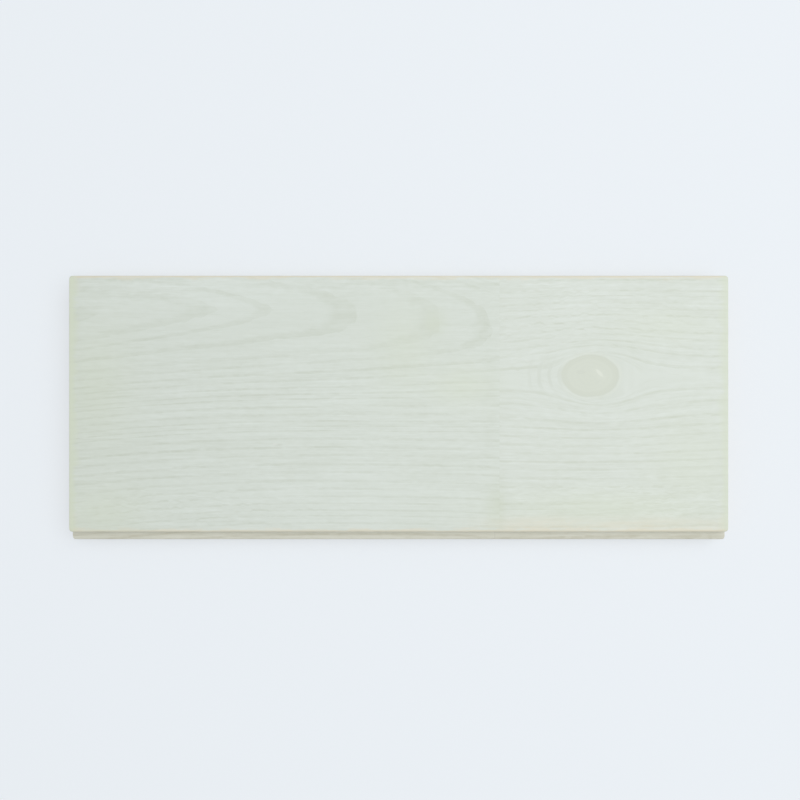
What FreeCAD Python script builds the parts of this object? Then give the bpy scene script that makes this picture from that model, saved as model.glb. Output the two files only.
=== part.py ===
"""One tongue and groove board of finger-jointed pine, nominal 1 x 8 stock cut to a short length.

Two lengths of pine are glued end to end with a finger joint, and the blank is then run through
a moulder, so one section passes through both: a tongue on the -Y edge, a groove on the +Y edge,
eased arrises on the show face and shallow relief channels along the back.

Millimetres. +X runs along the grain, +Y from the tongue to the groove, +Z out of the show face.
The origin is at the middle of the board's box, on the plane that the back lies on.
"""

import FreeCAD
import Part

import math
import os

from FreeCAD import Vector

# Overall sizes
BOARD_LENGTH = 457.2
COVER_WIDTH = 177.8  # show face from shoulder to groove edge, which is what one board covers
BOARD_THICKNESS = 19.05

# Tongue, on the -Y edge
TONGUE_REACH = 6.35
TONGUE_THICKNESS = 6.35
FACE_TO_TONGUE = 6.35  # depth of the tongue's upper side below the show face
TONGUE_NOSE_RADIUS = 1.2

# Groove, on the +Y edge, sized from the tongue that goes into it
GROOVE_SIDE_CLEARANCE = 0.2
GROOVE_END_CLEARANCE = 0.8
GROOVE_CORNER_RADIUS = 0.6
GROOVE_MOUTH_RADIUS = 0.5
BACK_LIP_SETBACK = 0.6  # keeps the back open, so that the show faces close first

# Eased edges and worn corners
FACE_ARRIS_RADIUS = 0.9
BACK_ARRIS_RADIUS = 1.2
END_CORNER_RADIUS = 2.0  # seen from above, where each end meets a long edge
TONGUE_CORNER_RADIUS = 1.5

# Relief channels along the back, which keep a wide board from cupping
CHANNEL_COUNT = 4
CHANNEL_WIDTH = 9.0
CHANNEL_DEPTH = 2.0
CHANNEL_CORNER_RADIUS = 1.0

# Finger joint between the two lengths. Its line on the show face is this far from the -X end.
JOINT_FROM_LEFT_END = 298.5
FINGER_LENGTH = 10.0
FINGER_PITCH = 3.8
FINGER_TIP_WIDTH = 0.6
LEAST_SHOULDER = 1.5  # thinnest square shoulder left at the show face and at the back

# How far a cutting solid passes the wood on each side
CUT_MARGIN = 5.0

# Places worked out from the sizes above
tongue_tip_y = -(COVER_WIDTH + TONGUE_REACH) / 2
shoulder_y = tongue_tip_y + TONGUE_REACH
groove_edge_y = shoulder_y + COVER_WIDTH
back_lip_y = groove_edge_y - BACK_LIP_SETBACK
tongue_top_z = BOARD_THICKNESS - FACE_TO_TONGUE
tongue_bottom_z = tongue_top_z - TONGUE_THICKNESS
groove_top_z = tongue_top_z + GROOVE_SIDE_CLEARANCE
groove_bottom_z = tongue_bottom_z - GROOVE_SIDE_CLEARANCE
groove_floor_y = groove_edge_y - TONGUE_REACH - GROOVE_END_CLEARANCE
left_end_x = -BOARD_LENGTH / 2
right_end_x = BOARD_LENGTH / 2
finger_outer_x = left_end_x + JOINT_FROM_LEFT_END
finger_inner_x = finger_outer_x - FINGER_LENGTH


def round_corner(before, corner, after, radius):
    """The start, middle and end of the arc that rounds a corner between two straight lines."""
    to_before = (before - corner).normalize()
    to_after = (after - corner).normalize()
    half_angle = to_before.getAngle(to_after) / 2
    setback = radius / math.tan(half_angle)
    bisector = (to_before + to_after).normalize()
    centre = corner + bisector * (radius / math.sin(half_angle))
    start = corner + to_before * setback
    end = corner + to_after * setback
    return start, centre - bisector * radius, end


def rounded_face(corners):
    """A flat face through (point, radius) corners, each rounded by an arc of its radius."""
    count = len(corners)
    turns = []
    for index, (corner, radius) in enumerate(corners):
        before = corners[index - 1][0]
        after = corners[(index + 1) % count][0]
        if radius > 0:
            turns.append(round_corner(before, corner, after, radius))
        else:
            turns.append((corner, None, corner))
    edges = []
    for index, (start, middle, end) in enumerate(turns):
        if middle is not None:
            edges.append(Part.Arc(start, middle, end).toShape())
        next_start = turns[(index + 1) % count][0]
        edges.append(Part.LineSegment(end, next_start).toShape())
    return Part.Face(Part.Wire(edges))


def tongue_edge():
    """Corners (y, z, radius) of the -Y edge, from the show face round the tongue to the back."""
    return [
        (shoulder_y, BOARD_THICKNESS, FACE_ARRIS_RADIUS),
        (shoulder_y, tongue_top_z, 0),
        (tongue_tip_y, tongue_top_z, TONGUE_NOSE_RADIUS),
        (tongue_tip_y, tongue_bottom_z, TONGUE_NOSE_RADIUS),
        (shoulder_y, tongue_bottom_z, 0),
        (shoulder_y, 0, BACK_ARRIS_RADIUS),
    ]


def relief_channels():
    """Corners of the channels along the back, evenly spaced from the tongue side to the groove."""
    pitch = COVER_WIDTH / (CHANNEL_COUNT + 1)
    corners = []
    for number in range(1, CHANNEL_COUNT + 1):
        middle_y = shoulder_y + number * pitch
        near_y = middle_y - CHANNEL_WIDTH / 2
        far_y = middle_y + CHANNEL_WIDTH / 2
        corners += [
            (near_y, 0, 0),
            (near_y, CHANNEL_DEPTH, CHANNEL_CORNER_RADIUS),
            (far_y, CHANNEL_DEPTH, CHANNEL_CORNER_RADIUS),
            (far_y, 0, 0),
        ]
    return corners


def groove_edge():
    """Corners of the +Y edge, from the back round the groove to the show face."""
    return [
        (back_lip_y, 0, BACK_ARRIS_RADIUS),
        (back_lip_y, groove_bottom_z, GROOVE_MOUTH_RADIUS),
        (groove_floor_y, groove_bottom_z, GROOVE_CORNER_RADIUS),
        (groove_floor_y, groove_top_z, GROOVE_CORNER_RADIUS),
        (groove_edge_y, groove_top_z, GROOVE_MOUTH_RADIUS),
        (groove_edge_y, BOARD_THICKNESS, FACE_ARRIS_RADIUS),
    ]


def moulded_blank():
    """The whole board as it leaves the moulder, sawn square at both ends."""
    section = tongue_edge() + relief_channels() + groove_edge()
    corners = [(Vector(left_end_x, y, z), radius) for y, z, radius in section]
    return rounded_face(corners).extrude(Vector(BOARD_LENGTH, 0, 0))


def corner_waste(end_x, edge_y, low_z, high_z, radius):
    """What wear takes off one upright corner, from low_z to high_z, to leave it rounded."""
    inward_x = -math.copysign(1, end_x)
    inward_y = -math.copysign(1, edge_y)
    on_edge = Vector(end_x + inward_x * radius, edge_y, low_z)
    on_end = Vector(end_x, edge_y + inward_y * radius, low_z)
    corner = Vector(end_x, edge_y, low_z)
    start, middle, end = round_corner(on_edge, corner, on_end, radius)
    past_end_x = end_x - inward_x * CUT_MARGIN
    past_edge_y = edge_y - inward_y * CUT_MARGIN
    outside = [
        end,
        Vector(past_end_x, end.y, low_z),
        Vector(past_end_x, past_edge_y, low_z),
        Vector(start.x, past_edge_y, low_z),
        start,
    ]
    edges = [Part.Arc(start, middle, end).toShape()]
    edges += [Part.LineSegment(a, b).toShape() for a, b in zip(outside, outside[1:])]
    return Part.Face(Part.Wire(edges)).extrude(Vector(0, 0, high_z - low_z))


def worn_corners():
    """The waste of all the upright corners: both lips of both edges, and the tongue."""
    above = BOARD_THICKNESS + CUT_MARGIN
    below = -CUT_MARGIN
    levels = [
        (shoulder_y, tongue_top_z, above, END_CORNER_RADIUS),
        (tongue_tip_y, tongue_bottom_z, tongue_top_z, TONGUE_CORNER_RADIUS),
        (shoulder_y, below, tongue_bottom_z, END_CORNER_RADIUS),
        (groove_edge_y, groove_top_z, above, END_CORNER_RADIUS),
        (back_lip_y, below, groove_bottom_z, END_CORNER_RADIUS),
    ]
    return [
        corner_waste(end_x, edge_y, low_z, high_z, radius)
        for end_x in (left_end_x, right_end_x)
        for edge_y, low_z, high_z, radius in levels
    ]


def finger_line():
    """The joint's zigzag through the thickness, as (x, z) from the back to the show face."""
    flank_height = FINGER_PITCH / 2 - FINGER_TIP_WIDTH
    room = BOARD_THICKNESS - 2 * LEAST_SHOULDER + FINGER_TIP_WIDTH
    finger_count = int(room / FINGER_PITCH)
    shoulder = (BOARD_THICKNESS - finger_count * FINGER_PITCH + FINGER_TIP_WIDTH) / 2
    points = []
    for number in range(finger_count):
        z = shoulder + number * FINGER_PITCH
        points += [
            (finger_outer_x, z),
            (finger_inner_x, z + flank_height),
            (finger_inner_x, z + flank_height + FINGER_TIP_WIDTH),
            (finger_outer_x, z + 2 * flank_height + FINGER_TIP_WIDTH),
        ]
    return points


def left_side_of_joint():
    """A solid that holds everything on the -X side of the finger joint."""
    below = -CUT_MARGIN
    above = BOARD_THICKNESS + CUT_MARGIN
    far_x = left_end_x - CUT_MARGIN
    start_y = tongue_tip_y - CUT_MARGIN
    width = groove_edge_y - tongue_tip_y + 2 * CUT_MARGIN
    outline = [(far_x, below), (finger_outer_x, below)]
    outline += finger_line()
    outline += [(finger_outer_x, above), (far_x, above)]
    corners = [(Vector(x, start_y, z), 0) for x, z in outline]
    return rounded_face(corners).extrude(Vector(0, width, 0))


def main():
    board = moulded_blank().cut(worn_corners())
    left_side = left_side_of_joint()
    pieces = {
        "left_length": board.common(left_side),
        "right_length": board.cut(left_side),
    }
    os.makedirs("parts", exist_ok=True)
    for name, piece in pieces.items():
        piece.exportStep(f"parts/{name}.step")
        print(name, "solids", len(piece.Solids), "valid", piece.isValid(), "mm3", round(piece.Volume, 1))


main()
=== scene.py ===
# %% [markdown]
# # A stained pine tongue and groove board
#
# The board is two lengths of pine, glued end to end with a finger joint and then run through a
# moulder. The frame holds both lengths at their real size. This lesson dresses them: it builds
# each length again as a fine mesh of the same section, works out where the tree's growth rings
# meet its surfaces, and paints the thin grey-green stain over them.
#
# Blender works in metres and a moulder in millimetres, so sizes here are written in millimetres
# and turned into metres once, when a mesh is made.

import math

import bmesh
import bpy
import numpy as np
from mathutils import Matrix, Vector


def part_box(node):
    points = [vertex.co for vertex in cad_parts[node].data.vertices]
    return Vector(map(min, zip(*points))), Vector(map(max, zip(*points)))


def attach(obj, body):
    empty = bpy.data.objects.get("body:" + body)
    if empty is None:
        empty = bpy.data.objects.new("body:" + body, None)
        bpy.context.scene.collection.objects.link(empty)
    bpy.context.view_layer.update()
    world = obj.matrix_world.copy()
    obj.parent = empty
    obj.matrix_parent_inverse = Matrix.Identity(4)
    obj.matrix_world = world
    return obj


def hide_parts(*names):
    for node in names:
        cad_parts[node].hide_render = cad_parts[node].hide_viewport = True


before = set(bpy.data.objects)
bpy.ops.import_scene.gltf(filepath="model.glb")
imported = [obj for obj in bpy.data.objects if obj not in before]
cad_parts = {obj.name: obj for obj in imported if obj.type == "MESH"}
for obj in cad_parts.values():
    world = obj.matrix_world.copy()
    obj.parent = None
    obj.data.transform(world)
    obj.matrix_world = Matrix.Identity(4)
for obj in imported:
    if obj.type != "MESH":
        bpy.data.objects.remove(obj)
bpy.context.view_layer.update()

MM = 0.001
left_low, left_high = (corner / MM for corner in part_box("left_length"))
right_low, right_high = (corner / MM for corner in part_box("right_length"))

LEFT_END = left_low.x
RIGHT_END = right_high.x
TONGUE_TIP = left_low.y
GROOVE_EDGE = left_high.y
THICKNESS = left_high.z
FINGER_ROOT = right_low.x
JOINT_LINE = left_high.x
print("board", round(RIGHT_END - LEFT_END, 2), round(GROOVE_EDGE - TONGUE_TIP, 2), round(THICKNESS, 2))

# %% [markdown]
# ## The moulded section
#
# The section is what makes this board a tongue and groove board, so its sizes are the moulder's.
# The box of the frame gives the length, width, thickness and the joint. The sizes inside the
# section aren't in the box, so they are repeated here from the drawing.

# %% Sizes of the section
TONGUE_REACH = 6.35
TONGUE_THICKNESS = 6.35
FACE_TO_TONGUE = 6.35
TONGUE_NOSE_RADIUS = 1.2
GROOVE_SIDE_CLEARANCE = 0.2
GROOVE_END_CLEARANCE = 0.8
GROOVE_CORNER_RADIUS = 0.6
GROOVE_MOUTH_RADIUS = 0.5
BACK_LIP_SETBACK = 0.6
FACE_ARRIS_RADIUS = 0.9
BACK_ARRIS_RADIUS = 1.2
END_CORNER_RADIUS = 2.0
TONGUE_CORNER_RADIUS = 1.5
CHANNEL_COUNT = 4
CHANNEL_WIDTH = 9.0
CHANNEL_DEPTH = 2.0
CHANNEL_CORNER_RADIUS = 1.0
FINGER_PITCH = 3.8
FINGER_TIP_WIDTH = 0.6
LEAST_SHOULDER = 1.5

SHOULDER = TONGUE_TIP + TONGUE_REACH
COVER = GROOVE_EDGE - SHOULDER
FACE_CENTRE_Y = (SHOULDER + GROOVE_EDGE) / 2
TONGUE_TOP = THICKNESS - FACE_TO_TONGUE
TONGUE_BOTTOM = TONGUE_TOP - TONGUE_THICKNESS
print("cover", round(COVER, 2), "tongue from", round(TONGUE_BOTTOM, 2), "to", round(TONGUE_TOP, 2))

# %% [markdown]
# A round corner of the section is an arc between its two tangent points. Four short chords are
# enough for an arris of under a millimetre. A bevel modifier could round the corners of a finished
# mesh, but it would have to be told which ones stay sharp, and here each corner simply carries its
# own radius. The corners are listed once round the section, as (y, z, radius), from the show face
# at the tongue to the show face at the groove.

# %% The outline of the section
ARC_STEPS = 4


def arc_points(before, corner, after, radius):
    """Points along the arc that rounds the corner between two straight lines."""
    to_before = (before - corner).normalized()
    to_after = (after - corner).normalized()
    half_angle = to_before.angle(to_after) / 2
    centre = corner + (to_before + to_after).normalized() * (radius / math.sin(half_angle))
    setback = radius / math.tan(half_angle)
    start = corner + to_before * setback - centre
    end = corner + to_after * setback - centre
    turns = [start.slerp(end, step / ARC_STEPS) for step in range(ARC_STEPS + 1)]
    return [centre + turn.normalized() * radius for turn in turns]


def section_corners():
    """Every corner of the moulded section, in order."""
    groove_top = TONGUE_TOP + GROOVE_SIDE_CLEARANCE
    groove_bottom = TONGUE_BOTTOM - GROOVE_SIDE_CLEARANCE
    groove_floor = GROOVE_EDGE - TONGUE_REACH - GROOVE_END_CLEARANCE
    back_lip = GROOVE_EDGE - BACK_LIP_SETBACK
    corners = [
        (SHOULDER, THICKNESS, FACE_ARRIS_RADIUS),
        (SHOULDER, TONGUE_TOP, 0),
        (TONGUE_TIP, TONGUE_TOP, TONGUE_NOSE_RADIUS),
        (TONGUE_TIP, TONGUE_BOTTOM, TONGUE_NOSE_RADIUS),
        (SHOULDER, TONGUE_BOTTOM, 0),
        (SHOULDER, 0, BACK_ARRIS_RADIUS),
    ]
    for number in range(1, CHANNEL_COUNT + 1):
        middle = SHOULDER + number * COVER / (CHANNEL_COUNT + 1)
        near = middle - CHANNEL_WIDTH / 2
        far = middle + CHANNEL_WIDTH / 2
        corners += [
            (near, 0, 0),
            (near, CHANNEL_DEPTH, CHANNEL_CORNER_RADIUS),
            (far, CHANNEL_DEPTH, CHANNEL_CORNER_RADIUS),
            (far, 0, 0),
        ]
    corners += [
        (back_lip, 0, BACK_ARRIS_RADIUS),
        (back_lip, groove_bottom, GROOVE_MOUTH_RADIUS),
        (groove_floor, groove_bottom, GROOVE_CORNER_RADIUS),
        (groove_floor, groove_top, GROOVE_CORNER_RADIUS),
        (GROOVE_EDGE, groove_top, GROOVE_MOUTH_RADIUS),
        (GROOVE_EDGE, THICKNESS, FACE_ARRIS_RADIUS),
    ]
    return corners


def section_outline():
    """The section's outline as points (y, z), with its round corners drawn as arcs."""
    corners = section_corners()
    outline = []
    for index, (y, z, radius) in enumerate(corners):
        corner = Vector((y, z))
        before = Vector(corners[index - 1][:2])
        after = Vector(corners[(index + 1) % len(corners)][:2])
        outline += arc_points(before, corner, after, radius) if radius else [corner]
    return outline


print("outline points", len(section_outline()))

# %% [markdown]
# ## The finger joint
#
# Seen from the edge, the joint zigzags through the thickness. A boolean could cut one board in two
# along it, but it leaves long thin faces with no points to carry the grain. A point of the joint is
# known by its height alone, so one function from height to x describes the whole joint, and the
# meshes are later bent to meet it.

# %% The joint's zigzag
def finger_levels():
    """The heights and x places of the zigzag's corners, from the back to the show face."""
    flank = FINGER_PITCH / 2 - FINGER_TIP_WIDTH
    count = int((THICKNESS - 2 * LEAST_SHOULDER + FINGER_TIP_WIDTH) / FINGER_PITCH)
    shoulder = (THICKNESS - count * FINGER_PITCH + FINGER_TIP_WIDTH) / 2
    heights = []
    places = []
    for number in range(count):
        base = shoulder + number * FINGER_PITCH
        heights += [base, base + flank]
        heights += [base + flank + FINGER_TIP_WIDTH, base + 2 * flank + FINGER_TIP_WIDTH]
        places += [JOINT_LINE, FINGER_ROOT, FINGER_ROOT, JOINT_LINE]
    return heights, places


FINGER_HEIGHTS, FINGER_PLACES = finger_levels()


def joint_x(z):
    """Where the two lengths meet, at the height z."""
    return np.interp(z, FINGER_HEIGHTS, FINGER_PLACES, left=JOINT_LINE, right=JOINT_LINE)


print("finger corners", len(FINGER_HEIGHTS))

# %% [markdown]
# The glue shows as a fine dark line, and its mask needs each point's distance to the joint. On an
# upright side of the board the line is the zigzag itself. On a flat side of the tongue or the
# groove it is one straight line across, at the place that the zigzag has at that height.

# %% Distance to the joint
PAST_BOARD = 1.0
LEVEL_TOLERANCE = 0.01
FLAT_LEVELS = (
    TONGUE_TOP,
    TONGUE_BOTTOM,
    TONGUE_TOP + GROOVE_SIDE_CLEARANCE,
    TONGUE_BOTTOM - GROOVE_SIDE_CLEARANCE,
)


def zigzag_distance(x, z):
    """How far the points (x, z) lie from the zigzag, measured straight to its nearest side."""
    heights = [-PAST_BOARD, *FINGER_HEIGHTS, THICKNESS + PAST_BOARD]
    places = [JOINT_LINE, *FINGER_PLACES, JOINT_LINE]
    nearest = np.full(len(x), np.inf)
    for x0, z0, x1, z1 in zip(places, heights, places[1:], heights[1:]):
        side = np.hypot(x1 - x0, z1 - z0)
        along = np.clip(((x - x0) * (x1 - x0) + (z - z0) * (z1 - z0)) / side**2, 0, 1)
        gap = np.hypot(x - x0 - along * (x1 - x0), z - z0 - along * (z1 - z0))
        nearest = np.minimum(nearest, gap)
    return nearest


def joint_distance(x, z):
    """How far the points (x, z) lie from the joint, measured on the surface that they are part of."""
    on_level = np.any([np.abs(z - level) < LEVEL_TOLERANCE for level in FLAT_LEVELS], axis=0)
    return np.where(on_level, np.abs(x - joint_x(z)), zigzag_distance(x, z))


print("flat levels with a straight glue line", len(FLAT_LEVELS))

# %% [markdown]
# ## A fine mesh by cutting and sweeping
#
# Relief and grain need points all over the wood, evenly spaced, and a CAD mesh has them only at
# its edges. Remeshing it would give even points but soften the arrises. A section face cut into
# small cells gives the points across the board, and sweeping its rim along the length gives those
# along it. The cuts are `bisect_plane` calls: one at each corner height of the joint, so that the
# zigzag's corners fall on real points, and one at each step across the board. The show face gets
# finer steps than the back.

# %% Cut the section into cells
FACE_STEP = 0.75
BACK_STEP = 3.0
HEIGHT_STEP = 1.2
FINE_ABOVE = THICKNESS - 4.0
CLEAR_OF_CUT = 0.1
UNDER_BOARD = -1.0
SAME_POINT = 1e-4


def cut_across(cells, place, direction, above=UNDER_BOARD):
    """Cuts the flat cells that reach higher than above with one plane."""
    faces = [f for f in cells.faces if max(v.co.z for v in f.verts) > above]
    edges = {e for f in faces for e in f.edges}
    verts = {v for f in faces for v in f.verts}
    bmesh.ops.bisect_plane(
        cells, geom=[*verts, *edges, *faces], dist=SAME_POINT, plane_co=place, plane_no=direction
    )


def rim_in_order(cells):
    """The indices of the points round the outside of the cells."""
    first = next(e for e in cells.edges if e.is_boundary)
    rim = [first.verts[0], first.verts[1]]
    edge = first
    while rim[-1] is not rim[0]:
        edge = next(e for e in rim[-1].link_edges if e.is_boundary and e is not edge)
        rim.append(edge.other_vert(rim[-1]))
    return [v.index for v in rim[:-1]]


def section_cells():
    """The section as flat cells: its points (y, z), its cells, and its rim in order."""
    cells = bmesh.new()
    cells.faces.new([cells.verts.new((0, p.x, p.y)) for p in section_outline()])
    even_heights = np.arange(HEIGHT_STEP, THICKNESS - HEIGHT_STEP / 2, HEIGHT_STEP)
    spare = [z for z in even_heights if min(abs(z - f) for f in FINGER_HEIGHTS) > HEIGHT_STEP / 4]
    for z in [*FINGER_HEIGHTS, *spare, FINE_ABOVE]:
        cut_across(cells, (0, 0, z), (0, 0, 1))
    for y in np.arange(SHOULDER + BACK_STEP, GROOVE_EDGE, BACK_STEP):
        cut_across(cells, (0, y, 0), (0, 1, 0))
    for y in np.arange(SHOULDER + 2 * FACE_STEP, GROOVE_EDGE - FACE_STEP, FACE_STEP):
        cut_across(cells, (0, y, 0), (0, 1, 0), above=FINE_ABOVE + CLEAR_OF_CUT)
    cells.verts.index_update()
    points = np.array([(v.co.y, v.co.z) for v in cells.verts])
    faces = [[v.index for v in f.verts] for f in cells.faces]
    rim = rim_in_order(cells)
    cells.free()
    return points, faces, rim


SECTION_POINTS, SECTION_FACES, SECTION_RIM = section_cells()
print("section points", len(SECTION_POINTS), "cells", len(SECTION_FACES), "rim", len(SECTION_RIM))

# %% [markdown]
# A station is one copy of the rim. It is given by a place along the board and by how far it has
# bent towards the joint: share 0 is a flat station, and share 1 lies in the joint itself. At the
# sawn ends the stations crowd together, because the worn corners turn there. The cells close the
# first and the last station, so each length is one closed skin.

# %% Sweep the rim along the board
ALONG_STEP = 1.5
BEND_ZONE = 6.0
BEND_SHARES = (0.17, 0.34, 0.5, 0.67, 0.84, 0.97, 1.0)
END_TURNS = 8


def stations(end, joint_side):
    """(place, share) of each station, from the sawn end to the joint."""
    towards = math.copysign(1, joint_side - end)
    angles = [math.pi / 2 * n / END_TURNS for n in range(END_TURNS + 1)]
    turn = [END_CORNER_RADIUS * (1 - math.cos(angle)) for angle in angles]
    flat_length = abs(joint_side - end) - BEND_ZONE
    count = round((flat_length - END_CORNER_RADIUS) / ALONG_STEP)
    even = np.linspace(END_CORNER_RADIUS, flat_length, count + 1)[1:]
    flat = [(end + towards * d, 0.0) for d in [*turn, *even]]
    return flat + [(flat[-1][0], share) for share in BEND_SHARES]


def swept_length(end, joint_side):
    """Points and faces of one length, still as it leaves the moulder."""
    places = stations(end, joint_side)
    rim = SECTION_POINTS[SECTION_RIM]
    on_rim = set(SECTION_RIM)
    inner = [i for i in range(len(SECTION_POINTS)) if i not in on_rim]
    points = []
    for place, share in places:
        x = place + share * (joint_x(rim[:, 1]) - place)
        points += list(zip(x, rim[:, 0], rim[:, 1]))
    size = len(rim)
    faces = []
    for ring in range(len(places) - 1):
        a = ring * size
        b = a + size
        faces += [(a + i, a + (i + 1) % size, b + (i + 1) % size, b + i) for i in range(size)]
    for ring in (0, len(places) - 1):
        place, share = places[ring]
        number = {point: ring * size + i for i, point in enumerate(SECTION_RIM)}
        number.update({point: len(points) + i for i, point in enumerate(inner)})
        for i in inner:
            y, z = SECTION_POINTS[i]
            points.append((place + share * (joint_x(z) - place), y, z))
        faces += [tuple(number[i] for i in face) for face in SECTION_FACES]
    return np.array(points), faces


left_points, left_faces = swept_length(LEFT_END, FINGER_ROOT)
right_points, right_faces = swept_length(RIGHT_END, JOINT_LINE)
print("left points", len(left_points), "right points", len(right_points))

# %% [markdown]
# ## Growth rings
#
# A tree lays down one ring of wood a year round its pith. A board is a slice of that, so the
# pattern on its face isn't drawn: it follows from where the pith was, and the same rings then
# show rightly on the ends and the back, which a drawn pattern wouldn't. In the left length the
# pith ran just above the show face and away from it at a slight slope, which gives the row of
# arches. Each arch has its tip where the slope has carried the pith one more ring away.
#
# No tree is a perfect cone. The pith bends sideways and sags a little, the first arches are
# pointed and the later ones blunt, and far from the pith the rings draw apart towards the left
# end. The rings were wide while the tree was young and then settled, and their widths are listed
# year by year as they are on the board.

# %% Rings of the left length
PITH_HEIGHT_AT_MIDDLE = 38.0
PITH_SLOPE = 0.137
PITH_SAG = 0.000024
PITH_SIDE = 65.6
PITH_BEND = 0.00041
PITH_BEND_START = -128.0
PITH_RETURN = 0.00000047
POINTED = 1.5
BLUNT = 2.56
POINTED_UNTIL = -86.0
BLUNT_FROM = -36.0
SHAPED_WITHIN = 31.0
TAPER = 0.0226
TAPER_FROM_PITH = 60.0
TAPER_RISE = 45.0
TAPER_FROM_X = 45.0
TAPER_RUN = 194.0
MOST_TAPER = 1.5
YEARS_OF_GROWTH = (
    11.0, 10.4, 5.1, 7.8, 7.9, 4.9, 5.2, 4.2, 4.5, 3.9, 2.9, 5.1, 4.8, 4.1, 3.1, 2.8,
    5.5, 5.4, 5.1, 5.7, 5.0, 5.6, 4.9, 4.9, 4.5, 4.5, 3.6, 5.2, 5.1, 4.8, 5.0, 4.4,
    4.8, 5.2, 4.6, 5.0,
)


def left_rings(x, y, z):
    """How many years old the tree was when it grew the wood at these points."""
    past_start = x - PITH_BEND_START
    pith_y = FACE_CENTRE_Y + PITH_SIDE - PITH_BEND * past_start**2 + PITH_RETURN * past_start**3
    pith_away = PITH_HEIGHT_AT_MIDDLE + PITH_SLOPE * x + PITH_SAG * x**2 + (THICKNESS - z)
    aside = np.abs(y - pith_y)
    # A power of 2 gives round rings, a lower one pointed rings and a higher one blunt rings.
    at_pith = np.interp(x, (POINTED_UNTIL, BLUNT_FROM), (POINTED, BLUNT))
    power = at_pith + (2 - at_pith) * np.clip(aside / SHAPED_WITHIN, 0, 1)
    distance = (aside**power + pith_away**power) ** (1 / power)
    far = np.clip((pith_y - y - TAPER_FROM_PITH) / TAPER_RISE, 0, MOST_TAPER)
    leftwards = np.clip((TAPER_FROM_X - x) / TAPER_RUN, 0, MOST_TAPER)
    distance = distance * (1 - TAPER * far * leftwards)
    radii = np.cumsum((0.0,) + YEARS_OF_GROWTH)
    return np.interp(distance, radii, np.arange(len(radii)))


first_radii = np.cumsum(YEARS_OF_GROWTH)[:6]
print("arch tips near x =", [round((r - PITH_HEIGHT_AT_MIDDLE) / PITH_SLOPE) for r in first_radii])

# %% [markdown]
# The right length comes from further out in its tree, so its rings cross the face as nearly
# straight lines. A branch grew through it. Wood flows round a branch as water does round a
# stone, and the formula for that flow is short: far away the lines are straight, and none of
# them enters the branch. The flow parts round an ellipse a little longer than the knot itself.

# %% Rings and knot of the right length
KNOT_X = 132.8
KNOT_Y = 19.4 + FACE_CENTRE_Y
KNOT_HALF_WIDTH = 15.0
KNOT_STRETCH = 1.36
KNOT_TAPER = 0.006
FLOW_X = 139.0
FLOW_Y = 18.0 + FACE_CENTRE_Y
FLOW_STRETCH = 1.65
GRAIN_LEAN = 0.0105
FAR_PITH_Y = 140.0
FAR_PITH_ABOVE = 60.0
SUMMER_SHARE = 0.62
THICKEST_LATEWOOD = 2.1
RING_LINES = (
    -112, -105.5, -102, -94, -89, -85.5, -78, -74, -67.5, -61, -55.5, -49.5, -43.5, -37.5, -31,
    -25, -16, -8, 5, 12.5, 17, 22.5, 27, 32.5, 38, 43, 47, 52.5, 56, 64, 68.5, 73.5, 78,
)


def ellipse_radius(x, y, z, centre_x, centre_y, stretch):
    """Distance from the middle of an ellipse that is as wide as the knot, as a share of its edge."""
    half = KNOT_HALF_WIDTH * (1 + KNOT_TAPER * (THICKNESS - z))
    return np.hypot((x - centre_x) / stretch, y - centre_y) / half


def knot_radius(x, y, z):
    """Distance from the knot's core as a share of its edge, which is 1."""
    return ellipse_radius(x, y, z, KNOT_X, KNOT_Y, KNOT_STRETCH)


def flow_across(x, y, z):
    """Millimetres across the grain, with the flow round the knot taken out."""
    radius = np.maximum(ellipse_radius(x, y, z, FLOW_X, FLOW_Y, FLOW_STRETCH), 1.0)
    return (y - FLOW_Y) * (1 - 1 / radius**2) - GRAIN_LEAN * (x - FLOW_X)


def ring_table():
    """Places across the grain and the ring number at each. Latewood is never thicker than its limit."""
    places = []
    numbers = []
    for index, (line, next_line) in enumerate(zip(RING_LINES, RING_LINES[1:])):
        latewood = min((1 - SUMMER_SHARE) * (next_line - line), THICKEST_LATEWOOD)
        places += [line, line + latewood]
        numbers += [-index, -index - (1 - SUMMER_SHARE)]
    return places + [RING_LINES[-1]], numbers + [1 - len(RING_LINES)]


RING_PLACES, RING_NUMBERS = ring_table()


def right_rings(x, y, z):
    """How many rings lie between these points and the upper edge of the board."""
    across = flow_across(x, y, z)
    depth = THICKNESS - z
    reach = FAR_PITH_Y - across
    slant = np.hypot(reach, FAR_PITH_ABOVE + depth) - np.hypot(reach, FAR_PITH_ABOVE)
    return len(RING_LINES) + np.interp(across - slant, RING_PLACES, RING_NUMBERS)


print("ring lines across the right length", len(RING_LINES))

# %% [markdown]
# ## Wear and relief
#
# The swept mesh is still perfect. Handling rounds the upright corners, a light sanding takes the
# sharp edge off the sawn ends, and the arrises are a little uneven. Wet stain makes the grain
# stand up, so the hard latewood lies a few hundredths of a millimetre above the soft wood. A
# displace modifier could raise the grain, but it would push the surface out. Every change here
# goes into the wood and never out of it, so the board keeps its size.

# %% Shape the points
END_EASE = 0.35
EASE_DEPTH = 2.0
EDGE_REACH = 8.0
GRAIN_RELIEF = 0.03
ARRIS_WEAR = 0.16
ARRIS_WIDTH = 1.6
ARRIS_TOP = THICKNESS - 0.2
SHOULDER_WAVES = (61, 23, 9.1, 3.7)
SHOULDER_PHASE = 1.3
GROOVE_WAVES = (53, 19, 7.3, 4.1)
GROOVE_PHASE = 2.9
GLUE_LINE_DEPTH = 0.03
GLUE_LINE_REACH = 0.8
HAIR = 0.001


def smooth(low, high, value):
    """0 at low, 1 at high, and a smooth rise between them."""
    t = np.clip((value - low) / (high - low), 0, 1)
    return t * t * (3 - 2 * t)


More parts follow.
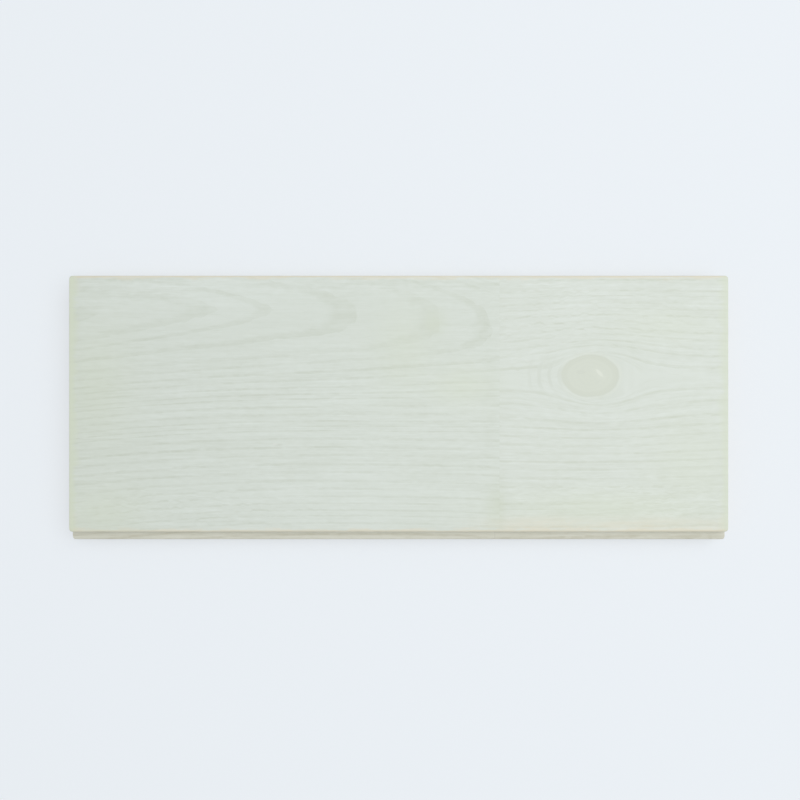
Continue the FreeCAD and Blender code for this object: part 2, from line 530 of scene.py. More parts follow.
def round_by(radius, distance):
    """How far a rounded corner draws back, at this distance from the end."""
    inside = np.clip(radius - distance, 0, radius)
    return radius - np.sqrt(radius**2 - inside**2)


def waver(x, wavelengths, phase):
    """An uneven line along the board, between -1 and 1, always the same for the same phase."""
    waves = [np.sin(2 * np.pi * x / length + phase * (k + 1)) for k, length in enumerate(wavelengths)]
    return sum(waves) / len(waves)


def arris_wear(x, height, wavelengths, phase, from_edge):
    """How much is worn off the show face beside one long edge."""
    worn = ARRIS_WEAR * (0.5 + 0.5 * waver(x, wavelengths, phase))
    arris = smooth(THICKNESS - 2 * FACE_ARRIS_RADIUS, ARRIS_TOP, height)
    return arris * worn * (1 - smooth(0, ARRIS_WIDTH, from_edge))


def shaped(points, rings, end):
    """The same points after handling, sanding and staining."""
    x, side, height = points.T
    y = side.copy()
    z = height.copy()
    from_end = np.abs(x - end)
    lip = round_by(END_CORNER_RADIUS, from_end)
    tongue = round_by(TONGUE_CORNER_RADIUS, from_end)
    near_shoulder = 1 - smooth(0, EDGE_REACH, side - SHOULDER)
    near_groove = 1 - smooth(0, EDGE_REACH, GROOVE_EDGE - side)
    on_tongue = tongue * (SHOULDER - side) / TONGUE_REACH
    y += np.where(side < SHOULDER - HAIR, on_tongue, lip * near_shoulder) - lip * near_groove
    ease = round_by(END_EASE, from_end)
    z -= ease * smooth(THICKNESS - EASE_DEPTH, THICKNESS, height)
    z += ease * smooth(EASE_DEPTH, 0, height)
    on_face = smooth(THICKNESS - FACE_ARRIS_RADIUS, THICKNESS, height)
    low_wood = 0.5 + 0.5 * np.cos(2 * np.pi * rings)
    z -= GRAIN_RELIEF * low_wood * on_face
    z -= arris_wear(x, height, SHOULDER_WAVES, SHOULDER_PHASE, side - SHOULDER)
    z -= arris_wear(x, height, GROOVE_WAVES, GROOVE_PHASE, GROOVE_EDGE - side)
    z -= GLUE_LINE_DEPTH * on_face * (1 - smooth(0, GLUE_LINE_REACH, np.abs(x - JOINT_LINE)))
    return np.stack([x, y, z], axis=1)


print("raised grain", GRAIN_RELIEF, "mm, worn arrises up to", ARRIS_WEAR, "mm")

# %% [markdown]
# ## Where the stain lies thick and thin
#
# Handling and drying leave soft spots on the film: a rubbed corner, a thin foot beside the joint,
# a place where the open grain at the joint drank more. Someone could paint these by hand in
# Blender's vertex paint, but a list of spots can be read and changed. Each spot is full in its
# middle and fades outwards. Places are in millimetres from the middle of the show face, and a
# spot is (x, y, half length, half width, strength).
#
# Where the film is thin, bare pine shows. Where it is thick it is darker, and light film is its
# opposite. Aged film has yellowed.

# %% Soft spots on the film
def spots(x, y, places):
    """The strongest of several soft spots at each point."""
    up = y - FACE_CENTRE_Y
    shares = [s * np.exp(-(((x - a) / p) ** 2) - ((up - b) / q) ** 2) for a, b, p, q, s in places]
    return np.max(shares, axis=0)


THIN_FILM = (
    (-227.0, -88.6, 4.0, 2.6, 1.0),
    (-228.6, -81.0, 4.0, 8.0, 0.4),
    (100.0, -83.5, 36.0, 4.8, 0.4),
    (170.0, -84.5, 62.0, 5.4, 0.36),
    (225.0, -84.0, 5.0, 6.0, 0.3),
    (-226.0, 84.0, 4.0, 5.0, 0.2),
)
THICK_FILM = (
    (68.5, -70.0, 6.8, 19.0, 1.15),
    (61.0, -60.0, 8.0, 9.0, 0.25),
    (64.0, 10.0, 6.0, 80.0, 0.35),
    (24.0, 57.0, 7.5, 10.0, 0.55),
    (59.0, 55.0, 5.0, 11.0, 0.5),
    (-222.0, -30.0, 12.0, 60.0, 0.25),
    (-200.0, -82.0, 30.0, 12.0, 0.35),
)
LIGHT_FILM = (
    (-134.0, 78.0, 62.0, 15.0, 0.55),
    (-48.0, -64.0, 85.0, 22.0, 0.28),
    (82.0, 18.0, 16.0, 9.0, 0.25),
    (183.0, 18.0, 28.0, 8.0, 0.12),
)
AGED_FILM = (
    (24.0, 56.0, 9.0, 10.0, 0.35),
    (4.0, 37.0, 22.0, 30.0, 0.3),
    (44.0, 13.0, 24.0, 14.0, 0.4),
    (-211.0, 13.0, 25.0, 40.0, 0.35),
    (-207.0, -76.0, 30.0, 20.0, 0.4),
    (68.0, -72.0, 9.0, 14.0, 0.35),
    (147.0, -72.0, 75.0, 12.0, 0.45),
    (202.0, -46.0, 30.0, 35.0, 0.25),
    (185.0, 54.0, 35.0, 12.0, 0.25),
)
print("soft spots on the film", len(THIN_FILM + THICK_FILM + LIGHT_FILM + AGED_FILM))

# %% [markdown]
# The wood has soft spots too. Near the knot, and low on the left length, the fibres ripple. Some
# stretches are calm, with hardly a streak, and others are lively. Near the upper edge the ring
# lines turn faint, because the saw ran nearly along them.

# %% Soft spots in the grain
RIPPLED_GRAIN = (
    (110.0, 60.0, 50.0, 22.0, 1.0),
    (86.0, 36.0, 16.0, 10.0, 0.7),
    (180.0, 62.0, 36.0, 18.0, 0.6),
    (-145.0, -72.0, 80.0, 13.0, 0.8),
    (110.0, -62.0, 40.0, 8.0, 0.7),
    (185.0, -72.0, 50.0, 12.0, 0.6),
)
CALM_GRAIN = (
    (80.0, 18.0, 17.0, 9.0, 1.0),
    (183.0, 18.0, 30.0, 7.5, 1.0),
    (-60.0, 60.0, 150.0, 24.0, 0.7),
    (-10.0, -72.0, 65.0, 14.0, 0.5),
)
LIVELY_GRAIN = (
    (185.0, -70.0, 55.0, 14.0, 1.4),
    (105.0, -72.0, 40.0, 14.0, 0.8),
    (110.0, 84.0, 45.0, 9.0, 0.7),
    (0.0, 84.0, 100.0, 9.0, 0.6),
    (-185.0, 82.0, 55.0, 10.0, 0.7),
    (-200.0, -72.0, 40.0, 14.0, 0.4),
)
FAINT_RINGS = (
    (-150.0, 92.0, 110.0, 18.0, 0.55),
    (-40.0, 92.0, 80.0, 18.0, 0.55),
    (35.0, 92.0, 35.0, 18.0, 0.55),
    (-135.0, 45.0, 38.0, 12.0, 0.45),
    (-33.0, 62.0, 8.0, 8.0, 0.2),
)
print("soft spots in the grain", len(RIPPLED_GRAIN + CALM_GRAIN + LIVELY_GRAIN + FAINT_RINGS))

# %% [markdown]
# ## From points to a dressed mesh
#
# A shader can read a number that is stored on each point. The rings, the way across the grain,
# the knot, the soft spots and the distance to the joint are worked out once here, and each
# material then reads what it needs by name. Nodes could work all this out again for every ray,
# but a stored number is simpler to check. A face's zone picks its material: the show face, the
# moulded edges, the planed back, or sawn end grain.

# %% What is stored on the points
def measures_of(points, rings, across, knot):
    """Everything that the materials read from the points, by name."""
    x, y, z = points.T
    return {
        "ring": rings(x, y, z),
        "across": across(x, y, z),
        "knot": knot(x, y, z),
        "thin": spots(x, y, THIN_FILM),
        "thick": spots(x, y, THICK_FILM) - spots(x, y, LIGHT_FILM),
        "aged": spots(x, y, AGED_FILM),
        "curl": spots(x, y, RIPPLED_GRAIN),
        "calm": spots(x, y, CALM_GRAIN) - spots(x, y, LIVELY_GRAIN),
        "faint": spots(x, y, FAINT_RINGS),
        "joint": joint_distance(x, z),
    }


FAR_FROM_KNOT = 9.0


def straight_across(x, y, z):
    """Millimetres across the grain where nothing bends it."""
    return y


def no_knot(x, y, z):
    """A knot radius far outside any knot."""
    return np.full(len(x), FAR_FROM_KNOT)


left_measures = measures_of(left_points, left_rings, straight_across, no_knot)
right_measures = measures_of(right_points, right_rings, flow_across, knot_radius)
print("measures", list(left_measures))

# %% [markdown]
# The mesh keeps sharp edges where its faces meet at more than 35 degrees, such as the shoulders
# and the saw cuts, and shades smoothly over the arcs and the raised grain.

# %% Make the two lengths
ZONES = ("face", "edge", "back", "end")
FLAT_ACROSS = 1e-6
ZONE_MARGIN = 0.01
BACK_FROM_SHOULDER = 0.5
BACK_FROM_GROOVE = 1.0
SHARP_ANGLE = 35


def zone_of(corner_points):
    """Which zone of the board a face belongs to, from its undressed corners."""
    x, y, z = corner_points.T
    if np.ptp(x) < FLAT_ACROSS:
        return "end"
    if z.min() > THICKNESS - FACE_ARRIS_RADIUS - ZONE_MARGIN:
        return "face"
    between_edges = SHOULDER + BACK_FROM_SHOULDER < y.mean() < GROOVE_EDGE - BACK_FROM_GROOVE
    if z.max() < CHANNEL_DEPTH + ZONE_MARGIN and between_edges:
        return "back"
    return "edge"


def dressed_length(name, points, faces, end, measures):
    """One length of pine as a Blender object, with its measures stored on its points."""
    moved = shaped(points, measures["ring"], end)
    mesh = bpy.data.meshes.new(name)
    mesh.from_pydata(moved * MM, [], faces)
    zones = [ZONES.index(zone_of(points[list(face)])) for face in faces]
    mesh.polygons.foreach_set("material_index", zones)
    for measure, values in measures.items():
        stored = mesh.attributes.new(measure, "FLOAT", "POINT")
        stored.data.foreach_set("value", values.astype(np.float32))
    piece = bpy.data.objects.new(name, mesh)
    bpy.context.scene.collection.objects.link(piece)
    wood = bmesh.new()
    wood.from_mesh(mesh)
    bmesh.ops.recalc_face_normals(wood, faces=wood.faces)
    wood.to_mesh(mesh)
    wood.free()
    mesh.shade_smooth()
    mesh.set_sharp_from_angle(angle=math.radians(SHARP_ANGLE))
    print(name, "faces", len(faces), "triangles", sum(len(f) - 2 for f in faces))
    return piece


left_piece = dressed_length("left_length_wood", left_points, left_faces, LEFT_END, left_measures)
right_piece = dressed_length("right_length_wood", right_points, right_faces, RIGHT_END, right_measures)

# %% [markdown]
# ## Node groups for what the finishes share
#
# All the finishes show the same wood, so its parts are node groups with named inputs and
# outputs: the rings, the fibre, and the film of stain over them. Nodes could be placed and linked
# one by one in the shader editor. Written as code, a graph is shorter with a small helper: each of
# its calls adds one node and returns the socket that it gives.

# %% A helper that writes node graphs
class Graph:
    """Adds nodes to one node tree and links them."""

    def __init__(self, tree):
        self.tree = tree

    def node(self, kind, inputs=(), **settings):
        """One node, with its settings, and its inputs as (name or number, value or socket)."""
        made = self.tree.nodes.new(kind)
        for key, value in settings.items():
            setattr(made, key, value)
        for key, value in inputs:
            self.feed(made.inputs[key], value)
        return made

    def feed(self, socket, value):
        """Links a socket to an input, or writes a plain value in it."""
        if isinstance(value, bpy.types.NodeSocket):
            self.tree.links.new(value, socket)
        else:
            socket.default_value = value

    def math(self, operation, *values):
        """The result of one Math node."""
        return self.node("ShaderNodeMath", enumerate(values), operation=operation).outputs[0]

    def product(self, first, *others):
        """All the values multiplied together."""
        for other in others:
            first = self.math("MULTIPLY", first, other)
        return first

    def total(self, first, *others):
        """All the values added up."""
        for other in others:
            first = self.math("ADD", first, other)
        return first

    def swing(self, value, strength):
        """Noise turned into a swing about 0, which is as wide as its strength."""
        return self.math("MULTIPLY_ADD", value, strength, -strength / 2)

    def ramp(self, value, low, high, to_low=0.0, to_high=1.0):
        """A smooth step from to_low to to_high as value goes from low to high."""
        made = self.node("ShaderNodeMapRange", enumerate((value, low, high, to_low, to_high)))
        made.interpolation_type = "SMOOTHSTEP"
        return made.outputs[0]

    def blend(self, share, first, second, clamped=True):
        """The colour that lies share of the way from the first to the second, or past them."""
        made = self.node("ShaderNodeMix", data_type="RGBA", clamp_factor=clamped)
        self.feed(made.inputs["Factor"], share)
        self.feed(made.inputs["A"], first)
        self.feed(made.inputs["B"], second)
        return made.outputs["Result"]

    def measure(self, name):
        """A number that is stored on the points of the mesh."""
        return self.node("ShaderNodeAttribute", attribute_name=name).outputs["Fac"]

    def vector(self, x, y, z):
        """A vector from three numbers or sockets."""
        return self.node("ShaderNodeCombineXYZ", enumerate((x, y, z))).outputs[0]

    def scaled(self, vector, share):
        """A place or a colour, multiplied by one number."""
        inputs = [(0, vector), ("Scale", share)]
        return self.node("ShaderNodeVectorMath", inputs, operation="SCALE").outputs[0]

    def noise(self, place, turns, detail=2.0, roughness=0.5):
        """Noise between 0 and 1. Its turns a millimetre are (along, across, through) the board."""
        stretched = self.node("ShaderNodeVectorMath", [(0, place), (1, turns)], operation="MULTIPLY")
        inputs = {"Vector": stretched.outputs[0], "Scale": 1.0, "Detail": detail, "Roughness": roughness}
        return self.node("ShaderNodeTexNoise", inputs.items()).outputs[0]


print("graph helper ready")

# %% [markdown]
# A node group is a tree of its own. Its sockets belong to its interface, and the nodes inside
# reach them through one input node and one output node. Colours are easiest to read as they are
# seen on a screen, from 0 to 255, and the renderer wants them on its own linear scale.

# %% New groups and colours
SOCKETS = {"value": "NodeSocketFloat", "colour": "NodeSocketColor", "vector": "NodeSocketVector"}


def new_group(name, inputs, outputs):
    """An empty node group with named sockets. Returns its graph, its inputs and its results."""
    group = bpy.data.node_groups.new(name, "ShaderNodeTree")
    for label, (kind, start) in inputs.items():
        socket = group.interface.new_socket(label, in_out="INPUT", socket_type=SOCKETS[kind])
        if start is not None:
            socket.default_value = start
    for label, kind in outputs.items():
        group.interface.new_socket(label, in_out="OUTPUT", socket_type=SOCKETS[kind])
    graph = Graph(group)
    given = graph.node("NodeGroupInput").outputs
    result = graph.node("NodeGroupOutput").inputs
    return graph, given, result


def linear(value):
    """One channel of a screen colour on the renderer's scale."""
    share = value / 255
    return share / 12.92 if share <= 0.04045 else ((share + 0.055) / 1.055) ** 2.4


def colour(red, green, blue):
    """A screen colour as the renderer wants it, with full alpha."""
    return (linear(red), linear(green), linear(blue), 1.0)


print("mid sage is", [round(v, 3) for v in colour(213, 220, 211)[:3]])

# %% [markdown]
# ### Wandering grain
#
# No tree grows quite straight. Its fibres wander by a millimetre or so over a hand's breadth, and
# where a branch was near they ripple. Both are noise that shifts everything sideways together,
# rings and fibres alike, so they stay in step. Bending the mesh would do that too, but it would
# bend the board's straight edges with it.

# %% The wander group
SLOW_WANDER = (0.02, 0.035, 0.035)
QUICK_RIPPLE = (0.15, 0.06, 0.06)


def make_wander_group():
    graph, given, result = new_group(
        "grain_wander",
        {"Place": ("vector", None), "Waver": ("value", 1.0), "Curl": ("value", 0.0)},
        {"Shift": "value"},
    )
    slow = graph.noise(given["Place"], SLOW_WANDER)
    quick = graph.noise(given["Place"], QUICK_RIPPLE, detail=1.5)
    wavering = graph.product(graph.math("SUBTRACT", slow, 0.5), given["Waver"])
    curling = graph.product(graph.math("SUBTRACT", quick, 0.5), given["Curl"])
    graph.feed(result["Shift"], graph.total(wavering, curling))
    return graph.tree


wander_group = make_wander_group()
print("made", wander_group.name)

# %% [markdown]
# ### Growth rings
#
# The stored ring number rises by one from the pith outwards each year. Its fraction is the time
# of year: pale wood for the first two thirds, darker wood from late summer, and then a sudden
# stop at winter. A wave texture could give even lines, but not this lopsided shade, nor rings that
# differ. A dry year leaves a fainter line, and a line also comes and goes along its length,
# because the stain took unevenly. In restless grain it breaks into strokes. Noise lies mostly
# between 0.3 and 0.7, so the ramps that read it start and end near there.

# %% The rings group
LATEWOOD_FULL = 0.79
WINTER_STARTS = 0.965
DRY_YEAR = 0.85
WET_YEAR_GAIN = 0.4
UPTAKE = (0.03, 0.15, 0.15)
UPTAKE_SPREAD = (0.3, 0.62)
LEAST_UPTAKE = 0.5
MOST_UPTAKE = 1.15
STROKES = (0.13, 0.22, 0.22)
STROKE_ENDS = (0.42, 0.56)


def make_rings_group():
    graph, given, result = new_group(
        "growth_rings",
        {
            "Ring": ("value", 0.0),
            "Place": ("vector", None),
            "Seed": ("value", 0.0),
            "Broken": ("value", 0.0),
        },
        {"Latewood": "value"},
    )
    season = graph.math("FRACT", given["Ring"])
    rise = graph.ramp(season, SUMMER_SHARE, LATEWOOD_FULL)
    fall = graph.ramp(season, WINTER_STARTS, 1.0, 1.0, 0.0)
    year = graph.total(graph.math("FLOOR", given["Ring"]), given["Seed"])
    luck = graph.node("ShaderNodeTexWhiteNoise", [("W", year)], noise_dimensions="1D").outputs["Value"]
    weather = graph.math("MULTIPLY_ADD", luck, WET_YEAR_GAIN, DRY_YEAR)
    took = graph.ramp(graph.noise(given["Place"], UPTAKE), *UPTAKE_SPREAD, LEAST_UPTAKE, MOST_UPTAKE)
    patchy = graph.noise(given["Place"], STROKES, detail=1.5)
    gap = graph.product(graph.ramp(patchy, *STROKE_ENDS, 1.0, 0.0), given["Broken"])
    strength = graph.product(weather, took, graph.math("SUBTRACT", 1.0, gap))
    graph.feed(result["Latewood"], graph.product(graph.product(rise, fall), strength))
    return graph.tree


rings_group = make_rings_group()
print("made", rings_group.name)

# %% [markdown]
# ### Fibre
#
# Pine fibres are a few millimetres long and far thinner than a hair, and what shows is their
# bundles: long fine streaks. Noise stretched along the board gives them. Its second direction is
# the stored distance across the grain, so that the streaks bend round the knot with the rings.
# Hairs are the finest streaks, for bump. The dashes are cut resin canals: short dark lines, a
# little apart from the streaks. The cloud is the broad unevenness of a wiped stain. An image of
# pine could hold all this, but it would show its edges and repeats, and noise has neither.

# %% The fibre group
LONG_STREAKS = (0.028, 0.5, 0.5)
SHORT_STREAKS = (0.15, 0.42, 0.42)
SHORT_STREAK_SHARE = 0.5
HAIRS = (0.12, 3.2, 3.2)
CANALS = (0.075, 1.1, 1.1)
CANAL_ENDS = (0.67, 0.78)
CLOUD = (0.012, 0.02, 0.02)


def make_fibre_group():
    graph, given, result = new_group(
        "pine_fibre",
        {
            "Along": ("value", 0.0),
            "Across": ("value", 0.0),
            "Depth": ("value", 0.0),
            "Calm": ("value", 0.0),
        },
        {"Streaks": "value", "Hairs": "value", "Dashes": "value", "Cloud": "value"},
    )
    place = graph.vector(given["Along"], given["Across"], given["Depth"])
    long_streaks = graph.noise(place, LONG_STREAKS, detail=2.5, roughness=0.55)
    short_streaks = graph.noise(place, SHORT_STREAKS, detail=1.0)
    long_swing = graph.math("SUBTRACT", long_streaks, 0.5)
    both = graph.total(long_swing, graph.swing(short_streaks, SHORT_STREAK_SHARE))
    lively = graph.math("SUBTRACT", 1.0, given["Calm"])
    graph.feed(result["Streaks"], graph.math("MULTIPLY_ADD", both, lively, 0.5))
    graph.feed(result["Hairs"], graph.noise(place, HAIRS, roughness=0.6))
    graph.feed(result["Dashes"], graph.ramp(graph.noise(place, CANALS, detail=0.0), *CANAL_ENDS))
    graph.feed(result["Cloud"], graph.noise(place, CLOUD, detail=3.0, roughness=0.55))
    return graph.tree


fibre_group = make_fibre_group()
print("made", fibre_group.name)

# %% [markdown]
# ### Stain film
#
# A semi-opaque stain is a thin paint that lets some of the wood through. It could be a clear coat
# over the wood's own shader, but its pigment hides more than it shines, so here it is a colour.
# Where it covers fully, the wood only tints it. Where it is thin, as on an arris that the pad
# wiped, the pine shows. The tint may pass the two stain colours a little, so that the strongest
# streaks aren't cut flat.

# %% The film group
STREAK_STRENGTH = 2.75
CLOUD_STRENGTH = 0.8
DASH_STRENGTH = 0.45
BARE_ROUGHNESS = 0.56
FILM_SMOOTHER_BY = 0.08
LATEWOOD_SMOOTHER_BY = 0.05


def make_film_group():
    graph, given, result = new_group(
        "stain_film",
        {
            "Stain": ("colour", None),
            "Dark Stain": ("colour", None),
            "Bare Wood": ("colour", None),
            "Latewood": ("value", 0.0),
            "Streaks": ("value", 0.5),
            "Dashes": ("value", 0.0),
            "Cloud": ("value", 0.5),
            "Thick": ("value", 0.0),
            "Cover": ("value", 1.0),
        },
        {"Color": "colour", "Roughness": "value"},
    )
    streak = graph.swing(given["Streaks"], STREAK_STRENGTH)
    cloud = graph.swing(given["Cloud"], CLOUD_STRENGTH)
    tint = graph.total(given["Latewood"], streak, cloud)
    tint = graph.math("MULTIPLY_ADD", given["Dashes"], DASH_STRENGTH, tint)
    tint = graph.total(tint, given["Thick"])
    film = graph.blend(tint, given["Stain"], given["Dark Stain"], clamped=False)
    graph.feed(result["Color"], graph.blend(given["Cover"], given["Bare Wood"], film))
    rough = graph.math("MULTIPLY_ADD", given["Latewood"], -LATEWOOD_SMOOTHER_BY, BARE_ROUGHNESS)
    rough = graph.math("MULTIPLY_ADD", given["Cover"], -FILM_SMOOTHER_BY, rough)
    graph.feed(result["Roughness"], rough)
    return graph.tree


film_group = make_film_group()
print("made", film_group.name)

# %% [markdown]
# ### Small marks
#
# A few marks are smaller than the mesh can hold: a painted highlight on the knot and a spot of resin.
# A stored measure would blur them over the nearest points, so this group works them out in the
# shader. It gives a soft slanted ellipse, and a mark then costs one node.

# %% The mark group
SOLID_WITHIN = 0.15


def make_mark_group():
    graph, given, result = new_group(
        "small_mark",
        {
            "X": ("value", 0.0),
            "Y": ("value", 0.0),
            "Half Length": ("value", 2.0),
            "Half Width": ("value", 1.0),
            "Slant": ("value", 0.0),
        },
        {"Mark": "value"},
    )

    def squared_share(distance, half):
        """The square of a distance as a share of half the ellipse's size."""
        share = graph.math("ABSOLUTE", graph.math("DIVIDE", distance, half))
        return graph.math("POWER", share, 2.0)

    along = graph.total(given["X"], graph.product(given["Y"], given["Slant"]))
    from_middle = graph.total(
        squared_share(along, given["Half Length"]), squared_share(given["Y"], given["Half Width"])
    )
    graph.feed(result["Mark"], graph.ramp(from_middle, SOLID_WITHIN, 1.0, 1.0, 0.0))
    return graph.tree


mark_group = make_mark_group()
print("made", mark_group.name)

# %% [markdown]
# ## Materials
#
# Each material places the groups it needs and gives them its own values. The shader itself stays
# outside the groups. What every pine material starts and ends with is written once, as a class.
# It starts with a place in millimetres, the wander, the rings and the fibre. Near the knot the
# rings are pressed together and their lines fade. It ends with the glue line, a fine dark seam
# that stays at one width on every side of the board, and with the bump.

# %% Shared start and end of every pine material
RINGS_PER_MM = 0.2
LEAST_CURL = 1.0
CURL_REACH = 4.5
CALM_STRENGTH = 0.75
LEAST_BROKEN = 0.45
CURL_BREAKS = 0.4
PRESSED_FROM_KNOT = (1.1, 1.7)
PRESSED_LATEWOOD = 0.35
GLUE_LINE_WIDTH = 0.2
GLUE_LINE_SEEN = 0.25


class Pine:
    """A material on pine: its graph, the board's measures and the wood groups, ready to use."""

    def __init__(self, name, seed=0.0):
        self.material = bpy.data.materials.new(name)
        self.material.use_nodes = True
        self.graph = graph = Graph(self.material.node_tree)
        self.shader = self.material.node_tree.nodes["Principled BSDF"]
        metres = graph.node("ShaderNodeTexCoord").outputs["Object"]
        self.place = graph.scaled(metres, 1 / MM)
        self.x, self.y, self.z = graph.node("ShaderNodeSeparateXYZ", [(0, self.place)]).outputs
        curl = graph.math("MULTIPLY_ADD", graph.measure("curl"), CURL_REACH, LEAST_CURL)
        shift = self.group(wander_group, Place=self.place, Curl=curl)["Shift"]
        ring = graph.math("MULTIPLY_ADD", shift, RINGS_PER_MM, graph.measure("ring"))
        across = graph.total(graph.measure("across"), shift)
        calm = graph.product(graph.measure("calm"), CALM_STRENGTH)
        unrest = graph.math("MULTIPLY_ADD", graph.measure("curl"), CURL_BREAKS, LEAST_BROKEN)
        broken = graph.product(unrest, graph.math("SUBTRACT", 1.0, calm))
        rings = self.group(rings_group, Ring=ring, Place=self.place, Seed=seed, Broken=broken)
        pressed = graph.ramp(graph.measure("knot"), *PRESSED_FROM_KNOT, PRESSED_LATEWOOD, 1.0)
        clear = graph.math("SUBTRACT", pressed, graph.measure("faint"))
        self.latewood = graph.product(rings["Latewood"], clear)
        self.fibre = self.group(fibre_group, Along=self.x, Across=across, Depth=self.z, Calm=calm)

    def group(self, tree, **inputs):
        """Places a group and returns its outputs."""
        made = self.graph.node("ShaderNodeGroup", node_tree=tree)
        for name, value in inputs.items():
            self.graph.feed(made.inputs[name.replace("_", " ")], value)
        return made.outputs

    def film(self, **inputs):
        """The stain film over this wood, with its colours and cover."""
        wood = {name: self.fibre[name] for name in ("Streaks", "Dashes", "Cloud")}
        return self.group(film_group, Latewood=self.latewood, **wood, **inputs)

    def finish(self, seen, roughness, height, height_mm, width=GLUE_LINE_WIDTH, line=GLUE_LINE_SEEN):
        """Sets the colour, darkened by line within width of the joint, the roughness and the bump."""
        graph = self.graph
        left_of_colour = graph.ramp(graph.measure("joint"), 0.0, width, 1 - line, 1.0)
        graph.feed(self.shader.inputs["Base Color"], graph.scaled(seen, left_of_colour))
        graph.feed(self.shader.inputs["Roughness"], roughness)
        bump = graph.node("ShaderNodeBump", [("Height", height), ("Distance", height_mm * MM)])
        graph.feed(self.shader.inputs["Normal"], bump.outputs[0])
        return self.material


print("glue line", GLUE_LINE_WIDTH, "mm wide")

# %% [markdown]
# ### The show face
#
# The show face carries the film at its fullest. It thins over the last few millimetres towards
# the long arrises, unevenly, which is the cream line that the board shows along its edges, and at
# the rubbed places. A painted mask would do, but distance and noise follow the board whatever its
# size.

# %% Cover of the film
ARRIS_COVER = 0.45
ARRIS_BARE_SHARE = 0.1
NARROW_ARRIS = 1.4
WIDE_ARRIS = 5.0
ARRIS_SPREAD = (0.3, 0.75)
RAGGED = (0.05, 0.3, 0.3)
RUBBED_SPREAD = (0.35, 0.6)
LEAST_RUBBED = 0.6
MOST_RUBBED = 1.1


def film_cover(pine):
    """How fully the film covers the wood: 1 in the field, less at the arrises and rubbed spots."""
    graph = pine.graph
    to_shoulder = graph.math("SUBTRACT", pine.y, SHOULDER)
    to_groove = graph.math("SUBTRACT", GROOVE_EDGE, pine.y)
    to_arris = graph.math("MINIMUM", to_shoulder, to_groove)
    ragged = graph.noise(pine.place, RAGGED, detail=4.0, roughness=0.7)
    reach = graph.ramp(ragged, *ARRIS_SPREAD, NARROW_ARRIS, WIDE_ARRIS)
    share = graph.math("DIVIDE", to_arris, reach)
    at_arris = graph.ramp(share, ARRIS_BARE_SHARE, 1.0, ARRIS_COVER, 1.0)
    rubbing = graph.ramp(ragged, *RUBBED_SPREAD, LEAST_RUBBED, MOST_RUBBED)
    kept = graph.math("SUBTRACT", 1.0, graph.product(graph.measure("thin"), rubbing))
    return graph.math("MAXIMUM", graph.product(at_arris, kept), 0.0)


print("cover at the arrises", ARRIS_COVER)

# %% [markdown]
# The open grain of a sawn end draws stain in over a few millimetres, and it yellows there. Some
# patches of the field have yellowed too. Both are one tint towards an aged stain colour, which is
# simpler than a second film over the first.

# %% Aged stain
LEFT_END_TINT = 0.85
RIGHT_END_TINT = 0.65
SHORT_DRAW = 5.0
LONG_DRAW = 11.0
DRAW_SPREAD = (0.3, 0.7)
FULL_TINT_SHARE = 0.15
DRAW = (0.02, 0.12, 0.12)
AGED_STAIN = colour(212.5, 221, 201)


def aged_share(pine):
    """How far the stain has yellowed, at the ends and in the aged patches."""
    graph = pine.graph
    to_left = graph.math("SUBTRACT", pine.x, LEFT_END)
    to_right = graph.math("SUBTRACT", RIGHT_END, pine.x)
    to_end = graph.math("MINIMUM", to_left, to_right)
    uneven = graph.noise(pine.place, DRAW, detail=4.0, roughness=0.7)
    reach = graph.ramp(uneven, *DRAW_SPREAD, SHORT_DRAW, LONG_DRAW)
    share = graph.ramp(graph.math("DIVIDE", to_end, reach), FULL_TINT_SHARE, 1.0, 1.0, 0.0)
    strongest = graph.ramp(pine.x, LEFT_END, RIGHT_END, LEFT_END_TINT, RIGHT_END_TINT)
    return graph.math("MAXIMUM", graph.product(share, strongest), graph.measure("aged"))


print("end tints", LEFT_END_TINT, RIGHT_END_TINT)

# %% [markdown]
# Both lengths share one face material, apart from their stain colours, the seed of their rings
# and the marks that only one of them has. So the marks come in as a function, which is given the
# colour around them and returns the colour with them in it. On this face the glue line all but
# disappears, because the film runs over it.

# %% Face material
LATEWOOD_HEIGHT = 0.4
HAIR_HEIGHT = 0.6
FACE_BUMP = 0.03
FACE_LINE_WIDTH = 0.3
FACE_LINE_SEEN = 0.012
RUBBED_WOOD = colour(226, 214, 186)


def face_material(name, seed, stain, dark_stain, marks):
    pine = Pine(name, seed)
    graph = pine.graph
    film = pine.film(
        Stain=stain,
        Dark_Stain=dark_stain,
        Bare_Wood=RUBBED_WOOD,
        Thick=graph.measure("thick"),
        Cover=film_cover(pine),
    )
    aged = graph.blend(aged_share(pine), film["Color"], AGED_STAIN)
    seen = marks(pine, aged)
    hairs = graph.product(pine.fibre["Hairs"], HAIR_HEIGHT)
    height = graph.math("MULTIPLY_ADD", pine.latewood, LATEWOOD_HEIGHT, hairs)
    return pine.finish(seen, film["Roughness"], height, FACE_BUMP, FACE_LINE_WIDTH, FACE_LINE_SEEN)


print("face bump", FACE_BUMP, "mm")

# %% [markdown]
# Resin bled out at one place of the left length, before it was stained. It dried to a small pale
# spot with a darker tail. It is too thin to be felt, so it is two marks in the colour, one laid
# over the other.

# %% Left face, with its resin spot
# A mark is (x, up, half length, half width, slant, how much of it is seen).
RESIN_TAIL = (-83.0, -28.6, 3.4, 0.6, -0.6, 0.6)
RESIN = (-85.5, -27.9, 2.2, 0.7, 0.4, 0.7)
TAIL_TONE = colour(203, 210, 199)
RESIN_TONE = colour(222, 227, 221)
LEFT_SEED = 0.0
LEFT_STAIN = colour(215, 222.6, 214.4)
LEFT_DARK_STAIN = colour(209, 216.6, 206.6)


